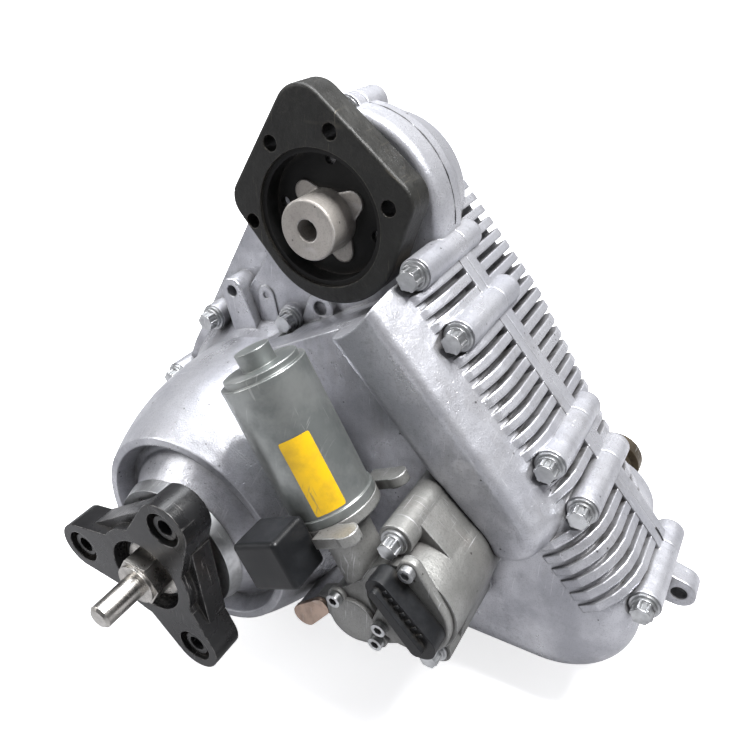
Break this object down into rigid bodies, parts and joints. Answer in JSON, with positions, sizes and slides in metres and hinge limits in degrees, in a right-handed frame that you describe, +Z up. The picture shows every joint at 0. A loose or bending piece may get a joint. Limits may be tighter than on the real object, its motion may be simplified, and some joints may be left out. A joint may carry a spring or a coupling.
{
  "type": "transfer case",
  "caption": "Chain-driven transfer case with a finned aluminium housing, tri-lobed rear output flange, servo-driven clutch, rubber support mount and front output.",
  "frame": {"origin": "centre of the machined face that bolts to the gearbox, on the main shaft line", "axes": "+Y along the main shaft towards the gearbox, -Y out of the rear output flange, +Z up towards the support mount side, +X towards the front output's side"},
  "size_m": [0.3894, 0.311, 0.3619],
  "materials": {
    "cast_aluminium": "as-cast, slightly satin",
    "machined_steel": "machined",
    "black_steel": "black phosphate coat with wear",
    "zinc_steel": "zinc plated",
    "bearing_steel": "ground and polished",
    "friction_lining": "pressed paper lining",
    "black_plastic": "moulded, fine grain",
    "black_rubber": "matt",
    "mount_black": "black coated casting, scuffed",
    "grey_casting": "die cast, matt",
    "motor_steel": "drawn can, zinc grey",
    "copper_zinc": "pressed, yellow passivated",
    "magnet": "sintered",
    "chain_steel": "oiled"
  },
  "bodies": {
    "case": {"actuator_bolts": "zinc_steel", "actuator_bracket": "copper_zinc", "actuator_housing": "grey_casting", "actuator_screws": "zinc_steel", "actuator_washers": "zinc_steel", "bearing_balls": "bearing_steel", "bearing_cover": "grey_casting", "connector_cap": "black_plastic", "drive_chain": "chain_steel", "front_cover": "cast_aluminium", "front_output_bearing_outer_race": "bearing_steel", "front_output_seal": "black_rubber", "front_rear_bearing_outer_race": "bearing_steel", "housing_bolts": "zinc_steel", "housing_washers": "zinc_steel", "input_bearing_outer_race": "bearing_steel", "input_seal": "black_rubber", "motor_can": "motor_steel", "motor_magnets": "magnet", "mount_bolt": "zinc_steel", "mount_core": "grey_casting", "mount_plate": "mount_black", "mount_rubber": "black_rubber", "pump_housing": "grey_casting", "ramp_balls": "bearing_steel", "rear_bearing_outer_race": "bearing_steel", "rear_housing": "cast_aluminium", "rear_seal": "black_rubber", "sensor_connector": "black_plastic", "sensor_cover": "grey_casting"},
    "rear_output": {"main_shaft": "machined_steel", "output_flange": "black_steel", "flange_nut": "machined_steel", "dust_shield": "zinc_steel", "rear_bearing_inner_race": "bearing_steel", "input_bearing_inner_race": "bearing_steel", "clutch_drum": "machined_steel", "steel_plates": "machined_steel", "pump_rotor": "machined_steel"},
    "apply_plate": {"pressure_plate": "machined_steel"},
    "apply_bearing": {"rear_thrust_bearing": "bearing_steel"},
    "rear_lever": {"rear_ramp_lever": "machined_steel", "rear_lever_roller": "bearing_steel"},
    "front_lever": {"front_ramp_lever": "machined_steel", "front_lever_roller": "bearing_steel"},
    "sprocket": {"drive_sprocket": "machined_steel", "friction_discs": "friction_lining", "needle_bearing": "bearing_steel", "front_thrust_bearing": "bearing_steel"},
    "front_output": {"front_output_shaft": "machined_steel", "front_flange": "machined_steel", "driven_sprocket": "machined_steel", "front_rear_bearing_inner_race": "bearing_steel", "front_output_bearing_inner_race": "bearing_steel"},
    "cam": {"cam_shaft": "machined_steel", "worm_wheel": "friction_lining"},
    "worm_shaft": {"worm": "machined_steel", "motor_rotor": "machined_steel"}
  },
  "joints": [
    {"name": "rear_output_turn", "type": "hinge", "parent": "case", "child": "rear_output", "pos_m": [0, -0.2, 0], "axis": [0, 1, 0], "continuous": true},
    {"name": "front_drive_turn", "type": "hinge", "parent": "case", "child": "sprocket", "pos_m": [0, -0.08, 0], "axis": [0, 1, 0], "continuous": true},
    {"name": "front_output_turn", "type": "hinge", "parent": "case", "child": "front_output", "pos_m": [0.20205, -0.06, -0.02159], "axis": [0, 1, 0], "continuous": true},
    {"name": "cam_turn", "type": "hinge", "parent": "case", "child": "cam", "pos_m": [0.148, -0.192, 0.018], "axis": [0, 1, 0], "range_deg": [0, 90]},
    {"name": "worm_turn", "type": "hinge", "parent": "case", "child": "worm_shaft", "pos_m": [0.12264, -0.192, 0.00394], "axis": [0.4848, 0, -0.8746], "range_deg": [0, 2700]},
    {"name": "apply_bearing_slide", "type": "slide", "parent": "case", "child": "apply_bearing", "axis": [0, -1, 0], "range_m": [0, 0.0009]},
    {"name": "apply_plate_slide", "type": "slide", "parent": "rear_output", "child": "apply_plate", "axis": [0, -1, 0], "range_m": [0, 0.0009]},
    {"name": "rear_lever_turn", "type": "hinge", "parent": "apply_bearing", "child": "rear_lever", "pos_m": [0, -0.121, 0], "axis": [0, 1, 0], "range_deg": [0, 3.06]},
    {"name": "front_lever_turn", "type": "hinge", "parent": "case", "child": "front_lever", "pos_m": [0, -0.109, 0], "axis": [0, 1, 0], "range_deg": [-3.3, 0]}
  ],
  "couplings": [
    {"joint": "front_output_turn", "follows": "front_drive_turn", "ratio": 1},
    {"joint": "cam_turn", "follows": "rear_lever_turn", "ratio": 29.41},
    {"joint": "worm_turn", "follows": "rear_lever_turn", "ratio": 882.3},
    {"joint": "front_lever_turn", "follows": "rear_lever_turn", "ratio": -1},
    {"joint": "apply_bearing_slide", "follows": "rear_lever_turn", "m_per_rad": 0.0147},
    {"joint": "apply_plate_slide", "follows": "rear_lever_turn", "m_per_rad": 0.0147}
  ]
}
